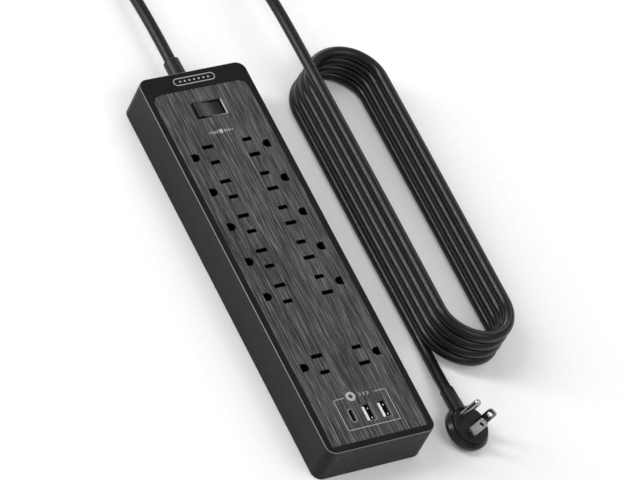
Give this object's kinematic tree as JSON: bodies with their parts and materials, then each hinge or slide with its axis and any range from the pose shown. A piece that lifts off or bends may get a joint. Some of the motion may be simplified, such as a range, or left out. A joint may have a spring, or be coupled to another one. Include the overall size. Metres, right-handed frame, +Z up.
{
  "type": "power strip",
  "caption": "Long power strip with two columns of outlets, USB ports, a rocker switch and a hanked cord with a flat angled plug.",
  "frame": {"origin": "bottom centre of the strip's housing, on its feet", "axes": "+Y along the strip towards the cord end, +X to the right, +Z up through the face"},
  "size_m": [0.1828, 0.4763, 0.04],
  "materials": {
    "housing_black": "satin",
    "brushed_panel": "brushed",
    "base_black": "fine texture",
    "foot_rubber": "matt",
    "screw_steel": "bright",
    "socket_black": "matt",
    "contact_brass": "bright",
    "carrier_black": "matt",
    "switch_case_black": "satin",
    "rocker_gloss": "gloss",
    "plunger_white": "matt",
    "bridge_brass": "bright",
    "terminal_brass": "bright",
    "usb_steel": "bright",
    "usb_tongue_plastic": "satin",
    "circuit_board": "satin",
    "varistor_blue": "gloss",
    "transformer_core": "matt",
    "capacitor_can": "satin",
    "wire_black": "satin",
    "wire_white": "satin",
    "wire_green": "satin",
    "relief_black": "satin",
    "cord_black": "satin",
    "plug_black": "satin",
    "plug_face_grey": "satin",
    "blade_steel": "bright",
    "pin_steel": "bright"
  },
  "bodies": {
    "strip": {"top_cover": "housing_black", "face_panel": "brushed_panel", "base_plate": "base_black", "rubber_feet": "foot_rubber", "housing_screws": "screw_steel", "socket_left_1": "socket_black", "socket_left_2": "socket_black", "socket_left_3": "socket_black", "socket_left_4": "socket_black", "socket_left_5": "socket_black", "socket_left_6": "socket_black", "socket_right_1": "socket_black", "socket_right_2": "socket_black", "socket_right_3": "socket_black", "socket_right_4": "socket_black", "socket_right_5": "socket_black", "socket_right_6": "socket_black", "line_bar_left": "contact_brass", "neutral_bar_left": "contact_brass", "ground_bar_left": "contact_brass", "line_bar_right": "contact_brass", "neutral_bar_right": "contact_brass", "ground_bar_right": "contact_brass", "switch_carrier": "carrier_black", "middle_carrier": "carrier_black", "usb_carrier": "carrier_black", "switch_case": "switch_case_black", "switch_terminals": "terminal_brass", "usb_c_shell": "usb_steel", "usb_a_middle_shell": "usb_steel", "usb_a_right_shell": "usb_steel", "usb_c_tongue": "socket_black", "usb_a_middle_tongue": "usb_tongue_plastic", "usb_a_right_tongue": "usb_tongue_plastic", "surge_board": "circuit_board", "varistors": "varistor_blue", "usb_board": "circuit_board", "usb_transformer": "transformer_core", "usb_capacitors": "capacitor_can", "line_wire": "wire_black", "switched_wire": "wire_black", "neutral_wire": "wire_white", "ground_wire": "wire_green", "cord_strain_relief": "relief_black", "cord_lead": "cord_black", "cord_hank": "cord_black", "cord_tail": "cord_black", "plug_strain_relief": "relief_black", "plug_body": "plug_black", "plug_face": "plug_face_grey", "plug_blades": "blade_steel", "plug_ground_pin": "pin_steel"},
    "rocker": {"rocker_button": "rocker_gloss", "switch_plunger": "plunger_white"},
    "bridge": {"contact_bridge": "bridge_brass"}
  },
  "joints": [
    {"name": "rocker_tilt", "type": "hinge", "parent": "strip", "child": "rocker", "pos_m": [0, 0.1204, 0.0262], "axis": [0, -1, 0], "range_deg": [0, 18.8]},
    {"name": "bridge_tilt", "type": "hinge", "parent": "strip", "child": "bridge", "pos_m": [0, 0.1204, 0.0157], "axis": [0, 1, 0], "range_deg": [0, 12]}
  ],
  "couplings": [
    {"joint": "bridge_tilt", "follows": "rocker_tilt", "ratio": 0.638}
  ]
}
